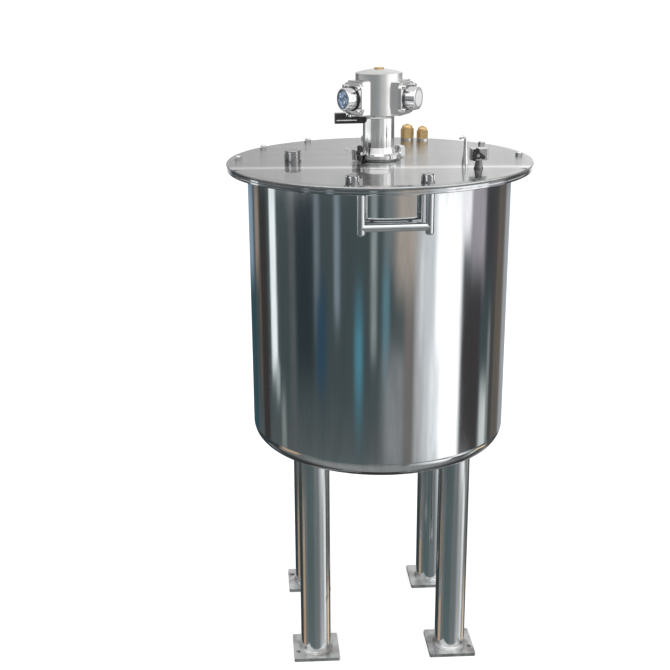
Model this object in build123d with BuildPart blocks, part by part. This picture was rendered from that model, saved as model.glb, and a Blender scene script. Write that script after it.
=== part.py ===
# Mixing tank on four legs: a closed stainless drum with a bolted lid, small lid
# fittings and a three-cylinder air motor that turns the stirrer inside.
# Millimetres. Z is up, the floor is z = 0, and the drum's axis is the Z axis.
# The front, with the handle that faces the user, looks along -Y.
from build123d import *
from math import asin, cos, degrees, radians, sin, sqrt
import os

os.makedirs("parts", exist_ok=True)

# Drum
drum_od = 500.0
drum_wall = 2.0
seam_height = 458.0
drum_height = 516.0
knuckle_radius = 34.0
crown_radius = 600.0

# Rim flange, gasket and lid
flange_reach = 38.0
flange_plate = 3.0
flange_lip = 9.5
flange_groove = 1.0
gasket_thickness = 1.0
gasket_width = 18.0
lid_plate = 5.0
lid_overhang = 2.0
lid_rim_width = 12.0
lid_rim_drop = 0.8

# Legs and feet
leg_od = 60.0
leg_wall = 2.0
leg_offset = 136.6
foot_side = 92.0
foot_thickness = 7.0
foot_corner = 3.0
foot_hole_d = 10.0
foot_hole_x = 37.0
foot_hole_y = 20.0
foot_weld = 4.0

# Carrying handles under the flange
handle_rod_d = 14.5
handle_bar_d = 14.5
handle_spacing = 118.0
handle_stand_off = 25.5
handle_drop = 64.5
handle_tail = 14.5
handle_tail_round = 4.5

# Outlet in the middle of the bottom
outlet_bore_d = 35.0
outlet_wall = 1.5
outlet_length = 30.0
outlet_flange_d = 50.5
outlet_flange_thickness = 2.85

# Clamp joint between lid and motor
ferrule_bore_d = 56.0
ferrule_wall = 4.0
ferrule_flange_d = 77.0
ferrule_flange_thickness = 2.5
ferrule_height = 7.8
clamp_turn = 25.0
clamp_od = 86.0
clamp_height = 12.5
clamp_edge = 3.0
clamp_lip = 4.0
clamp_split = 3.0
clamp_lug_length = 11.5
clamp_lug_width = 7.0
clamp_lug_height = 20.0
clamp_lug_root = 1.0
clamp_bolt_d = 6.0
clamp_bolt_head = 9.6
wing_clearance = 1.0
wing_span = 30.0
wing_thickness = 8.0
wing_depth = 7.0
wing_hub_d = 12.0
hinge_link_width = 9.5
hinge_link_thickness = 2.5

# Air motor
neck_d = 60.0
neck_foot_height = 14.0
neck_flare_height = 7.0
neck_length = 77.5
body_d = 88.0
body_height = 67.7
arm_width = 50.0
arm_height = 63.2
arm_reach = 53.0
arm_corner = 3.0
arm_directions = {"left": -151.5, "right": -31.5, "back": 88.5}
head_plate_thickness = 6.5
head_plate_width = 60.0
head_plate_height = 58.0
head_plate_corner = 13.0
head_plate_edge = 1.5
cap_gasket_d = 45.0
cap_gasket_thickness = 2.0
cap_d = 41.5
cap_length = 19.5
cap_edge = 1.6
cap_window_d = 34.0
cap_window_depth = 1.5
cap_window_thickness = 1.0
cover_height = 8.0
cover_dome = 7.0
top_plug_d = 19.0
top_plug_height = 2.6
top_plug_edge = 0.5

# Air valve under the left cylinder
valve_direction = 180.0
valve_bar_width = 20.0
valve_bar_height = 12.5
valve_bar_drop = 4.3
valve_bar_reach = 83.0
valve_bar_corner = 3.0
valve_block_length = 21.0
valve_block_height = 6.8
valve_slot_height = 5.0
valve_slot_start = 42.0
valve_slot_end = 80.0
valve_spool_inset = 1.5
valve_screw_d = 10.5
valve_screw_at = (-55.6, -4.0)

# Stirrer inside
shaft_d = 16.0
stirrer_clearance = 42.0
impeller_d = 150.0
impeller_hub_d = 32.0
impeller_hub_height = 34.0
blade_count = 3
blade_thickness = 3.0
blade_height = 22.0
blade_pitch = 30.0

# Lid fittings
nut_inset = 21.0
nut_angles = (0.0, 33.0, 90.0, 117.0, 143.5, 173.0)
nut_across_flats = 12.0
nut_height = 4.6
nut_dome = 2.6
nut_dome_d = 10.8
nut_dome_round = 2.2
plug_across_flats = 27.0
plug_height = 17.5
plug_collar = 3.0
plug_collar_rim = 2.5
plug_edge = 1.0
left_plug_at = (-163.0, -3.0)
front_plug_inset = 29.0
front_plug_angles = (-106.0, -77.5)
front_plug_across_flats = 19.0
front_plug_height = 12.0
brass_inset = 31.0
brass_angles = {"left": 70.3, "right": 63.1}
brass_sizes = {"left": (24.0, 19.5), "right": (20.5, 16.5)}
brass_dome = 8.0
brass_dome_round = 6.4
brass_shoulder = 0.6
brass_nub_d = 5.0
brass_nub_height = 1.5
brass_washer = 3.0
brass_washer_rim = 1.5
breather_at = (150.5, -82.0)
breather_foot_d = 12.5
breather_tip_d = 6.0
breather_taper_height = 30.0
breather_height = 50.0
breather_hook_radius = 4.5
vent_at = (166.0, -132.0)
vent_foot_d = 17.0
vent_foot_chamfer = 1.0
vent_neck_d = 11.0
vent_neck_height = 16.0
vent_body_length = 32.0
vent_body_depth = 18.0
vent_body_height = 21.0
vent_body_corner = 3.0
vent_body_edge = 1.0
vent_port_d = 9.0
vent_port_depth = 11.0
vent_spindle_d = 6.0
vent_spindle_end = 1.0
vent_spindle_shift = -5.0
vent_boss_d = 11.0
vent_handle_gap = 5.5
vent_handle_thickness = 7.0
vent_handle_reach = 13.0
vent_handle_hub_d = 13.0
vent_lobe_d = 7.5
vent_lobe_web = 6.0
vent_lobe_angles = (100.0, 220.0, 340.0)
running_clearance = 0.05

# Values worked out from the sizes above
drum_radius = drum_od / 2
drum_top = seam_height + drum_height
crown_rise = sqrt((crown_radius - knuckle_radius) ** 2 - (drum_radius - knuckle_radius) ** 2)
crown_centre = seam_height + crown_rise
crown_low = crown_centre - crown_radius
crown_angle = degrees(asin((drum_radius - knuckle_radius) / (crown_radius - knuckle_radius)))
shaft_tip_height = crown_low + drum_wall + stirrer_clearance
flange_radius = drum_radius + flange_reach
gasket_top = drum_top + gasket_thickness
lid_radius = flange_radius + lid_overhang
lid_top = gasket_top + lid_plate
nut_circle_radius = lid_radius - nut_inset
front_plug_radius = lid_radius - front_plug_inset
brass_circle_radius = lid_radius - brass_inset
ferrule_top = lid_top + ferrule_height
clamp_middle = ferrule_top
neck_top = ferrule_top + neck_length
body_top = neck_top + body_height
arm_axis = neck_top + arm_height / 2
plate_end = arm_reach + head_plate_thickness
gasket_end = plate_end + cap_gasket_thickness
cap_end = gasket_end + cap_length
cover_top = body_top + cover_height


def save(builder, name, turn=0):
    """Writes one piece, turned about the drum's axis if a turn is given."""
    piece = builder.part.rotate(Axis.Z, turn)
    piece.label = name
    export_step(piece, f"parts/{name}.step")


def side_plane(direction, distance, height):
    """Plane that faces away from the drum's axis, its local X level and its local Y up."""
    turn = radians(direction)
    outward = (cos(turn), sin(turn), 0)
    along = (-sin(turn), cos(turn), 0)
    centre = (distance * cos(turn), distance * sin(turn), height)
    return Plane(origin=centre, x_dir=along, z_dir=outward)


# Drum wall: a rolled cylinder, open at both ends
with BuildPart() as drum_wall_part:
    with BuildSketch(Plane.XY.offset(seam_height)):
        Circle(drum_radius)
        Circle(drum_radius - drum_wall, mode=Mode.SUBTRACT)
    extrude(amount=drum_height)
save(drum_wall_part, "drum_wall")


# Dished bottom: a pressed head with a tight knuckle and a shallow crown
def head_section(inset):
    """Half section of the bottom head, set in from its outer face."""
    knuckle = knuckle_radius - inset
    crown = crown_radius - inset
    with BuildSketch(Plane.XZ) as section:
        with BuildLine():
            outer = CenterArc((0, crown_centre), crown, -90, crown_angle)
            bend = CenterArc(
                (drum_radius - knuckle_radius, seam_height), knuckle, crown_angle - 90, 90 - crown_angle
            )
            rim = Line(bend @ 1, (0, seam_height))
            Line(rim @ 1, outer @ 0)
        make_face()
    return section


with BuildPart() as head_solid:
    revolve(head_section(0).sketch, axis=Axis.Z)

with BuildPart() as bottom_head:
    revolve(head_section(0).sketch, axis=Axis.Z)
    revolve(head_section(drum_wall).sketch, axis=Axis.Z, mode=Mode.SUBTRACT)
    with BuildSketch(Plane.XY.offset(crown_low - drum_wall)):
        Circle(outlet_bore_d / 2 + outlet_wall)
    extrude(amount=4 * drum_wall, mode=Mode.SUBTRACT)
save(bottom_head, "bottom_head")

# Outlet ferrule: a short tube with a clamp flange at its lower end
with BuildPart() as outlet:
    outlet_radius = outlet_bore_d / 2 + outlet_wall
    outlet_end = crown_low - outlet_length
    with BuildSketch(Plane.XY.offset(outlet_end)):
        Circle(outlet_radius)
    extrude(amount=outlet_length + drum_wall)
    with BuildSketch(Plane.XY.offset(outlet_end)):
        Circle(outlet_flange_d / 2)
    extrude(amount=outlet_flange_thickness)
    flange_edge = outlet.edges().filter_by(GeomType.CIRCLE).sort_by(SortBy.RADIUS)[-1]
    chamfer(flange_edge, outlet_flange_thickness / 3)
    with BuildSketch(Plane.XY.offset(outlet_end)):
        Circle(outlet_bore_d / 2)
    extrude(amount=outlet_length + drum_wall, mode=Mode.SUBTRACT)
save(outlet, "outlet_ferrule")

# Legs: tubes cut to the curve of the bottom head
for side_x, across in ((-1, "left"), (1, "right")):
    for side_y, along in ((-1, "front"), (1, "back")):
        leg_x = side_x * leg_offset
        leg_y = side_y * leg_offset
        with BuildPart() as leg:
            with BuildSketch(Plane.XY.offset(foot_thickness)):
                with Locations((leg_x, leg_y)):
                    Circle(leg_od / 2)
                    Circle(leg_od / 2 - leg_wall, mode=Mode.SUBTRACT)
            extrude(amount=seam_height - foot_thickness)
            add(head_solid, mode=Mode.SUBTRACT)
        save(leg, f"leg_{along}_{across}")

        # Foot: a square plate with one anchor hole and the weld round its leg
        with BuildPart() as foot:
            with BuildSketch():
                with Locations((leg_x, leg_y)):
                    RectangleRounded(foot_side, foot_side, foot_corner)
                with Locations((leg_x + side_x * foot_hole_x, leg_y + side_y * foot_hole_y)):
                    Circle(foot_hole_d / 2, mode=Mode.SUBTRACT)
            extrude(amount=foot_thickness)
            with BuildSketch(Plane.XY.offset(foot_thickness)):
                with Locations((leg_x, leg_y)):
                    Circle(leg_od / 2 + foot_weld)
            with BuildSketch(Plane.XY.offset(foot_thickness + foot_weld)):
                with Locations((leg_x, leg_y)):
                    Circle(leg_od / 2 + running_clearance)
            loft()
            with BuildSketch(Plane.XY.offset(foot_thickness)):
                with Locations((leg_x, leg_y)):
                    Circle(leg_od / 2)
            extrude(amount=foot_weld, mode=Mode.SUBTRACT)
        save(foot, f"foot_plate_{along}_{across}")

# Rim flange: a ring with a turned-down lip and a rolled groove
with BuildPart() as rim_flange:
    with BuildSketch(Plane.XZ):
        with BuildLine():
            lip_low = drum_top - flange_lip
            lip_middle = drum_top - flange_lip / 2
            lip_inner = flange_radius - flange_plate
            Polyline(
                (drum_radius, drum_top),
                (flange_radius - flange_groove, drum_top),
                (flange_radius, drum_top - flange_groove),
                (flange_radius, lip_middle + flange_groove),
                (flange_radius - flange_groove, lip_middle),
                (flange_radius, lip_middle - flange_groove),
                (flange_radius, lip_low + flange_groove),
                (flange_radius - flange_groove, lip_low),
                (lip_inner, lip_low),
                (lip_inner, drum_top - flange_plate),
                (drum_radius, drum_top - flange_plate),
                close=True,
            )
        make_face()
    revolve(axis=Axis.Z)
save(rim_flange, "rim_flange")

# Gasket between the flange and the lid
with BuildPart() as gasket:
    with BuildSketch(Plane.XY.offset(drum_top)):
        Circle(lid_radius - lid_rim_width)
        Circle(lid_radius - lid_rim_width - gasket_width, mode=Mode.SUBTRACT)
    extrude(amount=gasket_thickness)
save(gasket, "rim_gasket")

# Lid: a flat disc whose rim is rolled down a little, with a hole for the shaft
with BuildPart() as lid:
    with BuildSketch(Plane.XZ):
        with BuildLine():
            flat_end = lid_radius - lid_rim_width
            edge_top = lid_top - lid_rim_drop
            edge_low = gasket_top - lid_rim_drop
            Polyline(
                (ferrule_bore_d / 2, lid_top),
                (flat_end, lid_top),
                (lid_radius - lid_plate / 2, edge_top),
            )
            ThreePointArc(
                (lid_radius - lid_plate / 2, edge_top),
                (lid_radius, (edge_top + edge_low) / 2),
                (lid_radius - lid_plate / 2, edge_low),
            )
            Polyline(
                (lid_radius - lid_plate / 2, edge_low),
                (flat_end, gasket_top),
                (ferrule_bore_d / 2, gasket_top),
                (ferrule_bore_d / 2, lid_top),
            )
        make_face()
    revolve(axis=Axis.Z)
save(lid, "lid")

# Carrying handles: two rods welded under the flange with a grip bar between them
for side, name in ((-1, "front_handle"), (1, "back_handle")):
    with BuildPart() as handle:
        rod_radius = drum_radius + handle_stand_off
        rod_y = side * sqrt(rod_radius**2 - (handle_spacing / 2) ** 2)
        bar_z = drum_top - flange_plate - handle_drop
        with BuildSketch(Plane.XY.offset(bar_z - handle_tail)):
            with Locations((-handle_spacing / 2, rod_y), (handle_spacing / 2, rod_y)):
                Circle(handle_rod_d / 2)
        extrude(amount=handle_drop + handle_tail)
        tails = handle.edges().filter_by(GeomType.CIRCLE).group_by(Axis.Z)[0]
        fillet(tails, handle_tail_round)
        with BuildSketch(Plane.YZ.offset(-handle_spacing / 2)):
            with Locations((rod_y, bar_z)):
                Circle(handle_bar_d / 2)
        extrude(amount=handle_spacing)
    save(handle, name)

# Ferrule on the lid that carries the motor
with BuildPart() as lid_ferrule:
    with BuildSketch(Plane.XY.offset(lid_top)):
        Circle(ferrule_bore_d / 2 + ferrule_wall)
    extrude(amount=ferrule_height)
    with BuildSketch(Plane.XY.offset(ferrule_top - ferrule_flange_thickness)):
        Circle(ferrule_flange_d / 2)
    extrude(amount=ferrule_flange_thickness)
    with BuildSketch(Plane.XY.offset(lid_top)):
        Circle(ferrule_bore_d / 2)
    extrude(amount=ferrule_height, mode=Mode.SUBTRACT)
save(lid_ferrule, "lid_ferrule")

# Motor neck: a flange that sits on the ferrule, a conical foot and a plain column
with BuildPart() as neck:
    with BuildSketch(Plane.XZ):
        with BuildLine():
            foot_flange = ferrule_top + ferrule_flange_thickness
            throat = foot_flange + neck_foot_height
            shoulder = neck_top - neck_flare_height
            Polyline(
                (0, ferrule_top),
                (ferrule_flange_d / 2, ferrule_top),
                (ferrule_flange_d / 2, foot_flange),
                (neck_d / 2 + ferrule_wall, foot_flange),
                (neck_d / 2, throat),
                (neck_d / 2, shoulder),
            )
            Spline(
                (neck_d / 2, shoulder),
                (body_d / 2 - ferrule_wall, neck_top),
                tangents=((0, 1), (1, 0.3)),
            )
            Polyline((body_d / 2 - ferrule_wall, neck_top), (0, neck_top), (0, ferrule_top))
        make_face()
    revolve(axis=Axis.Z)
    with BuildSketch(Plane.XY.offset(ferrule_top)):
        Circle(shaft_d / 2 + running_clearance)
    extrude(amount=neck_length / 2, mode=Mode.SUBTRACT)
save(neck, "motor_neck")

# Motor body: the round case and the three square-shouldered cylinder arms
with BuildPart() as motor_body:
    with BuildSketch(Plane.XY.offset(neck_top)):
        Circle(body_d / 2)
    extrude(amount=body_height)
    for direction in arm_directions.values():
        with BuildSketch(side_plane(direction, 0, arm_axis)):
            RectangleRounded(arm_width, arm_height, arm_corner)
        extrude(amount=arm_reach)
save(motor_body, "motor_body")

# Top cover and its brass plug
with BuildPart() as top_cover:
    with BuildSketch(Plane.XZ):
        with BuildLine():
            cover_radius = body_d / 2
            dome_radius = (cover_radius**2 + cover_dome**2) / (2 * cover_dome)
            dome_angle = degrees(asin(cover_radius / dome_radius))
            dome_centre = cover_top + cover_dome - dome_radius
            Polyline((0, cover_top + cover_dome), (0, body_top), (cover_radius, body_top), (cover_radius, cover_top))
            CenterArc((0, dome_centre), dome_radius, 90 - dome_angle, dome_angle)
        make_face()
    revolve(axis=Axis.Z)
    plug_seat = cover_top + cover_dome - top_plug_d**2 / 8 / dome_radius
    with BuildSketch(Plane.XY.offset(plug_seat)):
        Circle(top_plug_d / 2)
    extrude(amount=cover_dome, mode=Mode.SUBTRACT)
save(top_cover, "motor_top_cover")

with BuildPart() as top_plug:
    with BuildSketch(Plane.XY.offset(plug_seat)):
        RegularPolygon(top_plug_d / 2, 6)
    extrude(amount=top_plug_height)
    chamfer(top_plug.faces().sort_by(Axis.Z)[-1].edges(), top_plug_edge)
save(top_plug, "motor_top_plug")

# Cylinder ends: a head plate, a dark gasket and a round cap on each arm
for name, direction in arm_directions.items():
    arm_line = Axis((0, 0, 0), side_plane(direction, 0, 0).z_dir)
    with BuildPart() as head_plate:
        with BuildSketch(side_plane(direction, arm_reach, arm_axis)):
            RectangleRounded(head_plate_width, head_plate_height, head_plate_corner)
        extrude(amount=head_plate_thickness)
        outer_face = head_plate.faces().sort_by(arm_line)[-1]
        fillet(outer_face.edges(), head_plate_edge)
    save(head_plate, f"cylinder_head_{name}")

    with BuildPart() as cap_gasket:
        with BuildSketch(side_plane(direction, plate_end, arm_axis)):
            Circle(cap_gasket_d / 2)
        extrude(amount=cap_gasket_thickness)
    save(cap_gasket, f"cap_gasket_{name}")

    with BuildPart() as cap:
        with BuildSketch(side_plane(direction, gasket_end, arm_axis)):
            Circle(cap_d / 2)
        extrude(amount=cap_length)
        cap_face = cap.faces().sort_by(arm_line)[-1]
        fillet(cap_face.edges(), cap_edge)
        if name == "left":
            with BuildSketch(side_plane(direction, cap_end, arm_axis)):
                Circle(cap_window_d / 2)
            extrude(amount=-cap_window_depth, mode=Mode.SUBTRACT)
    save(cap, f"cylinder_cap_{name}")

# Window disc let into the left cap
with BuildPart() as cap_window:
    with BuildSketch(side_plane(arm_directions["left"], cap_end - cap_window_depth, arm_axis)):
        Circle(cap_window_d / 2)
    extrude(amount=cap_window_thickness)
save(cap_window, "cap_window")

# Air valve: a slotted bar on the neck with a raised end block, its flat spool and its screw
bar_top = neck_top - valve_bar_drop
bar_middle = bar_top - valve_bar_height / 2
with BuildPart() as valve_bar:
    with BuildSketch(side_plane(valve_direction, 0, bar_middle)):
        RectangleRounded(valve_bar_width, valve_bar_height, valve_bar_corner)
    extrude(amount=valve_bar_reach)
    with BuildSketch(side_plane(valve_direction, valve_bar_reach - valve_block_length, bar_middle)):
        with Locations((0, valve_block_height / 2)):
            RectangleRounded(valve_bar_width, valve_bar_height + valve_block_height, valve_bar_corner)
    extrude(amount=valve_block_length)
    with BuildSketch(side_plane(valve_direction, valve_slot_start, bar_middle)):
        Rectangle(2 * valve_bar_width, valve_slot_height)
    extrude(amount=valve_slot_end - valve_slot_start, mode=Mode.SUBTRACT)
    add(neck, mode=Mode.SUBTRACT)
save(valve_bar, "air_valve_bar")

with BuildPart() as valve_spool:
    with BuildSketch(side_plane(valve_direction, valve_slot_start, bar_middle)):
        SlotOverall(valve_bar_width - 2 * valve_spool_inset, valve_slot_height)
    extrude(amount=valve_slot_end - valve_slot_start)
save(valve_spool, "air_valve_spool")

with BuildPart() as valve_screw:
    with BuildSketch(Plane.XY.offset(bar_top)):
        with Locations(valve_screw_at):
            Circle(valve_screw_d / 2)
    extrude(amount=valve_bar_drop)
save(valve_screw, "air_valve_screw")


# Clamp: two channel halves, a hinge link on one side and a wing bolt on the other.
# It is drawn with the hinge towards +X and turned about the drum's axis when it is saved.
lug_centre = clamp_od / 2 + clamp_lug_length / 2 - clamp_lug_root
lug_face = clamp_split / 2 + clamp_lug_width
lug_low = clamp_middle - clamp_height / 2
bolt_height = lid_top + wing_clearance + wing_span / 2
bolt_head_thickness = clamp_bolt_d / 2


def clamp_half(side, name):
    """Half of the clamp ring with a lug at each end; side is -1 in front, 1 behind."""
    with BuildPart() as half:
        with BuildSketch(Plane.XZ):
            with BuildLine():
                outer = clamp_od / 2
                seat = ferrule_flange_d / 2
                high = clamp_middle + clamp_height / 2
                Polyline(
                    (outer - clamp_edge, lug_low),
                    (outer, lug_low + clamp_edge),
                    (outer, high - clamp_edge),
                    (outer - clamp_edge, high),
                    (seat - clamp_lip, high),
                    (seat - clamp_lip, clamp_middle + ferrule_flange_thickness),
                    (seat, clamp_middle + ferrule_flange_thickness),
                    (seat, clamp_middle - ferrule_flange_thickness),
                    (seat - clamp_lip, clamp_middle - ferrule_flange_thickness),
                    (seat - clamp_lip, lug_low),
                    close=True,
                )
            make_face()
        revolve(axis=Axis.Z)
        lug_y = side * (clamp_split + clamp_lug_width) / 2
        with BuildSketch(Plane.XY.offset(lug_low)):
            with Locations((-lug_centre, lug_y), (lug_centre, lug_y)):
                RectangleRounded(clamp_lug_length, clamp_lug_width, clamp_lug_root)
        extrude(amount=clamp_lug_height)
        with BuildSketch(Plane.XZ.offset(-2 * lug_face)):
            with Locations((-lug_centre, bolt_height), (lug_centre, bolt_height)):
                Circle(clamp_bolt_d / 2)
        extrude(amount=4 * lug_face, mode=Mode.SUBTRACT)
        with BuildSketch(Plane.XY.offset(lug_low - clamp_height)):
            with Locations((0, -side * (clamp_od - clamp_split / 2))):
                Rectangle(3 * clamp_od, 2 * clamp_od)
        extrude(amount=3 * (clamp_height + clamp_lug_height), mode=Mode.SUBTRACT)
    save(half, name, clamp_turn)


clamp_half(-1, "clamp_front_half")
clamp_half(1, "clamp_back_half")

# Wing bolt on the left of the clamp, with its wings upright
with BuildPart() as clamp_bolt:
    with BuildSketch(Plane.XZ.offset(-lug_face - bolt_head_thickness)):
        with Locations((-lug_centre, bolt_height)):
            RegularPolygon(clamp_bolt_head / 2, 6, major_radius=False)
    extrude(amount=bolt_head_thickness)
    with BuildSketch(Plane.XZ.offset(-lug_face)):
        with Locations((-lug_centre, bolt_height)):
            Circle(clamp_bolt_d / 2)
    extrude(amount=2 * lug_face + wing_depth + bolt_head_thickness)
save(clamp_bolt, "clamp_bolt", clamp_turn)

with BuildPart() as wing_nut:
    with BuildSketch(Plane.XZ.offset(lug_face)):
        with Locations((-lug_centre, bolt_height)):
            Circle(wing_hub_d / 2)
            SlotOverall(wing_span, wing_thickness, rotation=90)
            Circle(clamp_bolt_d / 2, mode=Mode.SUBTRACT)
    extrude(amount=wing_depth)
save(wing_nut, "clamp_wing_nut", clamp_turn)

# Hinge on the right of the clamp: a pin through both lugs with a link plate at each end
with BuildPart() as clamp_hinge:
    for start in (-lug_face - hinge_link_thickness, lug_face):
        with BuildSketch(Plane.XZ.offset(start)):
            with Locations((lug_centre, lug_low + clamp_lug_height / 2)):
                SlotOverall(clamp_lug_height, hinge_link_width, rotation=90)
        extrude(amount=hinge_link_thickness)
    with BuildSketch(Plane.XZ.offset(-lug_face)):
        with Locations((lug_centre, bolt_height)):
            Circle(clamp_bolt_d / 2)
    extrude(amount=2 * lug_face)
save(clamp_hinge, "clamp_hinge", clamp_turn)

# Stirrer shaft, from its seat in the neck to the hub near the bottom
with BuildPart() as shaft:
    with BuildSketch(Plane.XY.offset(shaft_tip_height)):
        Circle(shaft_d / 2)
    extrude(amount=ferrule_top + neck_length / 2 - shaft_tip_height)
save(shaft, "stirrer_shaft")

# Impeller: a hub with flat blades set at an angle
with BuildPart() as impeller:
    with BuildSketch(Plane.XY.offset(shaft_tip_height)):
        Circle(impeller_hub_d / 2)
    extrude(amount=impeller_hub_height)
    for blade in range(blade_count):
        blade_plane = side_plane(
            blade * 360 / blade_count, impeller_hub_d / 4, shaft_tip_height + impeller_hub_height / 2
        )
        with BuildSketch(blade_plane):
            Rectangle(blade_height, blade_thickness, rotation=blade_pitch)
        extrude(amount=impeller_d / 2 - impeller_hub_d / 4)
    with BuildSketch(Plane.XY.offset(shaft_tip_height)):
        Circle(shaft_d / 2 + running_clearance)
    extrude(amount=impeller_hub_height, mode=Mode.SUBTRACT)
save(impeller, "impeller")

# Domed nuts round the lid
nut_points = [
    (nut_circle_radius * cos(radians(angle)), nut_circle_radius * sin(radians(angle)))
    for angle in nut_angles
]
with BuildPart() as rim_nuts:
    with BuildSketch(Plane.XY.offset(lid_top)):
        with Locations(*nut_points):
            RegularPolygon(nut_across_flats / 2, 6, major_radius=False)
    extrude(amount=nut_height)
    with BuildSketch(Plane.XY.offset(lid_top + nut_height)):
        with Locations(*nut_points):
            Circle(nut_dome_d / 2)
    extrude(amount=nut_dome)
    dome_edges = rim_nuts.edges().filter_by(GeomType.CIRCLE).group_by(Axis.Z)[-1]
    fillet(dome_edges, nut_dome_round)
save(rim_nuts, "rim_nuts")


def hex_plugs(points, across_flats, height, name):
    """Solid hexagonal plugs on round collars, one at each point of the lid."""
    with BuildPart() as plugs:
        with BuildSketch(Plane.XY.offset(lid_top)):
            with Locations(*points):
                Circle(across_flats / 2 + plug_collar_rim)
        extrude(amount=plug_collar)
        with BuildSketch(Plane.XY.offset(lid_top + plug_collar)):
            with Locations(*points):
                RegularPolygon(across_flats / 2, 6, major_radius=False)
        extrude(amount=height)
        top_edges = plugs.faces().group_by(Axis.Z)[-1].edges()
        chamfer(top_edges, plug_edge)
    save(plugs, name)


hex_plugs([left_plug_at], plug_across_flats, plug_height, "left_port_plug")
front_points = [
    (front_plug_radius * cos(radians(angle)), front_plug_radius * sin(radians(angle)))
    for angle in front_plug_angles
]
hex_plugs(front_points, front_plug_across_flats, front_plug_height, "front_port_plugs")

# Two brass breather caps at the back of the lid, each on a steel washer
with BuildPart() as washers:
    for name, angle in brass_angles.items():
        brass_x = brass_circle_radius * cos(radians(angle))
        brass_y = brass_circle_radius * sin(radians(angle))
        with BuildSketch(Plane.XY.offset(lid_top)):
            with Locations((brass_x, brass_y)):
                Circle(brass_sizes[name][0] / 2 + brass_washer_rim)
        extrude(amount=brass_washer)
save(washers, "brass_cap_washers")

for name, angle in brass_angles.items():
    across_flats, hex_height = brass_sizes[name]
    brass_x = brass_circle_radius * cos(radians(angle))
    brass_y = brass_circle_radius * sin(radians(angle))
    with BuildPart() as brass_cap:
        level = lid_top + brass_washer
        with BuildSketch(Plane.XY.offset(level)):
            with Locations((brass_x, brass_y)):
                RegularPolygon(across_flats / 2, 6, major_radius=False)
        extrude(amount=hex_height)
        with BuildSketch(Plane.XY.offset(level + hex_height)):
            with Locations((brass_x, brass_y)):
                Circle(across_flats / 2 - brass_shoulder)
        extrude(amount=brass_dome)
        shoulder_edge = brass_cap.edges().filter_by(GeomType.CIRCLE).group_by(Axis.Z)[-1]
        fillet(shoulder_edge, brass_dome_round)
        with BuildSketch(Plane.XY.offset(level + hex_height + brass_dome)):
            with Locations((brass_x, brass_y)):
                Circle(brass_nub_d / 2)
        extrude(amount=brass_nub_height)
    save(brass_cap, f"brass_cap_{name}")

# Breather post: a tapered foot, a slim tube and a hooked end
with BuildPart() as breather:
    foot_x, foot_y = breather_at
    taper_top = lid_top + breather_taper_height
    with BuildSketch(Plane.XY.offset(lid_top)):
        with Locations(breather_at):
            Circle(breather_foot_d / 2)
    with BuildSketch(Plane.XY.offset(taper_top)):
        with Locations(breather_at):
            Circle(breather_tip_d / 2)
    loft()
    with BuildLine():
        bend_start = lid_top + breather_height - breather_hook_radius
        stem = Line((foot_x, foot_y, taper_top), (foot_x, foot_y, bend_start))
        ThreePointArc(
            stem @ 1,
            (foot_x - breather_hook_radius, foot_y, bend_start + breather_hook_radius),
            (foot_x - 2 * breather_hook_radius, foot_y, bend_start),
        )
    with BuildSketch(Plane.XY.offset(taper_top)):
        with Locations(breather_at):
            Circle(breather_tip_d / 2)
    sweep()
save(breather, "breather_post")

# Vent valve: a flared neck, a square body with a side port, and a fixed spindle
vent_x, vent_y = vent_at
vent_low = lid_top + vent_neck_height
vent_axis = vent_low + vent_body_height / 2
vent_front = Plane(
    origin=(vent_x + vent_spindle_shift, vent_y - vent_body_depth / 2, vent_axis), x_dir=(1, 0, 0), z_dir=(0, -1, 0)
)
with BuildPart() as vent_neck:
    with BuildSketch(Plane.XY.offset(lid_top)):
        with Locations(vent_at):
            Circle(vent_foot_d / 2)
    extrude(amount=plug_collar)
    with BuildSketch(Plane.XY.offset(lid_top + plug_collar)):
        with Locations(vent_at):
            Circle(vent_foot_d / 2 - vent_foot_chamfer)
    with BuildSketch(Plane.XY.offset(vent_low)):
        with Locations(vent_at):
            Circle(vent_neck_d / 2)
    loft()
save(vent_neck, "vent_neck")

with BuildPart() as vent_body:
    with BuildSketch(Plane.XY.offset(vent_low)):
        with Locations(vent_at):
            RectangleRounded(vent_body_length, vent_body_depth, vent_body_corner)
    extrude(amount=vent_body_height)
    chamfer(vent_body.faces().sort_by(Axis.Z)[-1].edges(), vent_body_edge)
    with BuildSketch(Plane.YZ.offset(vent_x + vent_body_length / 2)):
        with Locations((vent_y, vent_axis)):
            Circle(vent_port_d / 2)
    extrude(amount=-vent_port_depth, mode=Mode.SUBTRACT)
    with BuildSketch(vent_front):
        Circle(vent_boss_d / 2)
    extrude(amount=vent_handle_gap)
    with BuildSketch(vent_front):
        Circle(vent_spindle_d / 2)
    extrude(amount=vent_handle_gap + vent_handle_thickness + vent_spindle_end)
save(vent_body, "vent_valve_body")

# Vent handle: a three-lobed knob that turns on the spindle
with BuildPart() as vent_handle:
    with BuildSketch(vent_front.offset(vent_handle_gap + running_clearance)):
        Circle(vent_handle_hub_d / 2)
        for angle in vent_lobe_angles:
            lobe = vent_handle_reach - vent_lobe_d / 2
            lobe_tip = (lobe * cos(radians(angle)), lobe * sin(radians(angle)))
            with Locations(lobe_tip):
                Circle(vent_lobe_d / 2)
            with Locations((lobe_tip[0] / 2, lobe_tip[1] / 2)):
                Rectangle(lobe, vent_lobe_web, rotation=angle)
        Circle(vent_spindle_d / 2 + running_clearance, mode=Mode.SUBTRACT)
    extrude(amount=vent_handle_thickness)
save(vent_handle, "vent_handle")
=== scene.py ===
# Mixing tank: finishes, small fasteners, welds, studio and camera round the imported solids.
# Metres, with the drum's axis on Z, the floor at z = 0 and the front towards -Y.
import math

import bmesh
import bpy
from mathutils import Matrix, Vector


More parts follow.
